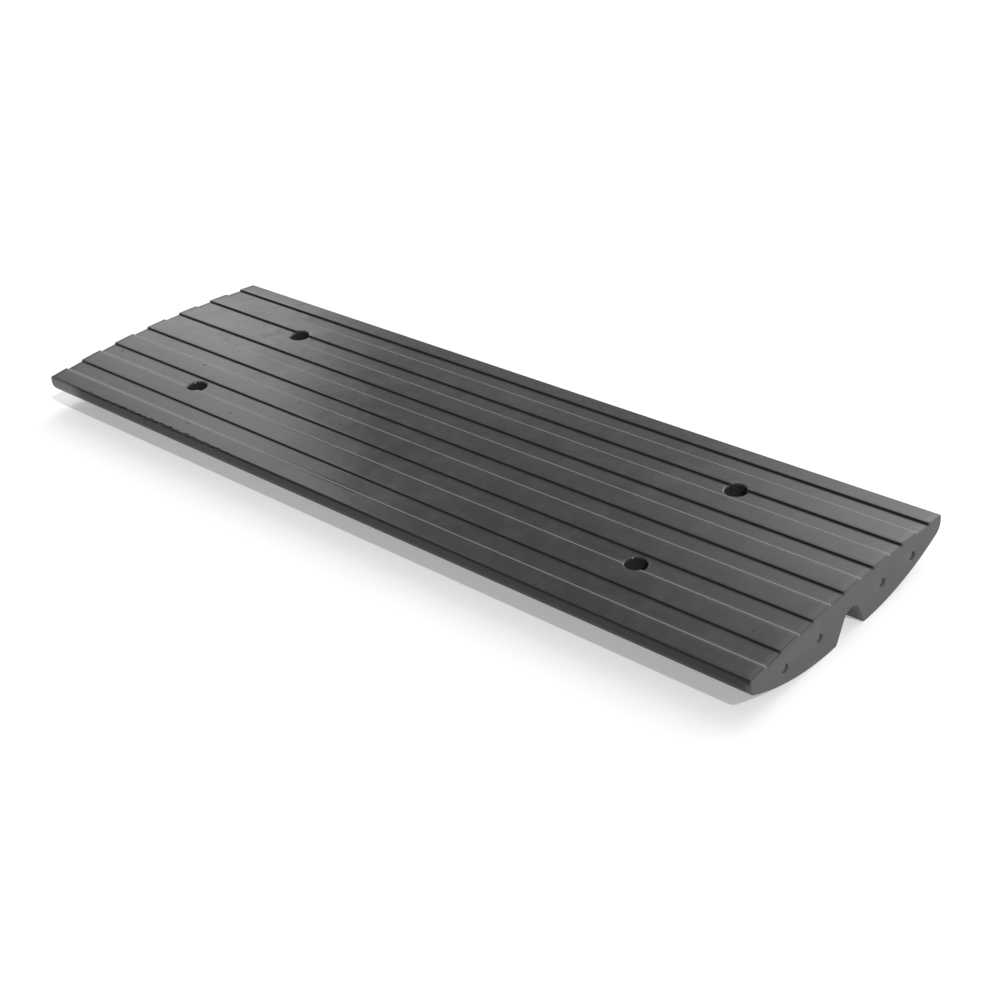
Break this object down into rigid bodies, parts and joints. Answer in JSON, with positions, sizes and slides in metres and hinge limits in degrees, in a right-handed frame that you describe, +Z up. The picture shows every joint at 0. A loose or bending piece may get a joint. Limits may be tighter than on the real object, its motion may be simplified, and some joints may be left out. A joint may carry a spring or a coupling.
{
  "type": "portable kerb ramp",
  "caption": "Moulded rubber kerb ramp with a crowned ribbed top, curved underside, arched drain channel and anchor holes with steel bushes.",
  "frame": {"origin": "middle of the ramp's length and width, on the ground", "axes": "+X along the ramp to the right end, +Y across it to the rear edge, +Z up"},
  "size_m": [0.994, 0.32, 0.054],
  "materials": {
    "rubber": "satin black moulded rubber, slightly mottled",
    "bush_steel": "zinc plated",
    "rod_steel": "dull primed bar"
  },
  "bodies": {
    "root": {"ramp_body": "rubber", "anchor_bush_front_left": "bush_steel", "anchor_bush_rear_left": "bush_steel", "anchor_bush_front_right": "bush_steel", "anchor_bush_rear_right": "bush_steel", "reinforcing_rod_front_inner": "rod_steel", "reinforcing_rod_front_outer": "rod_steel", "reinforcing_rod_rear_inner": "rod_steel", "reinforcing_rod_rear_outer": "rod_steel"}
  },
  "joints": []
}
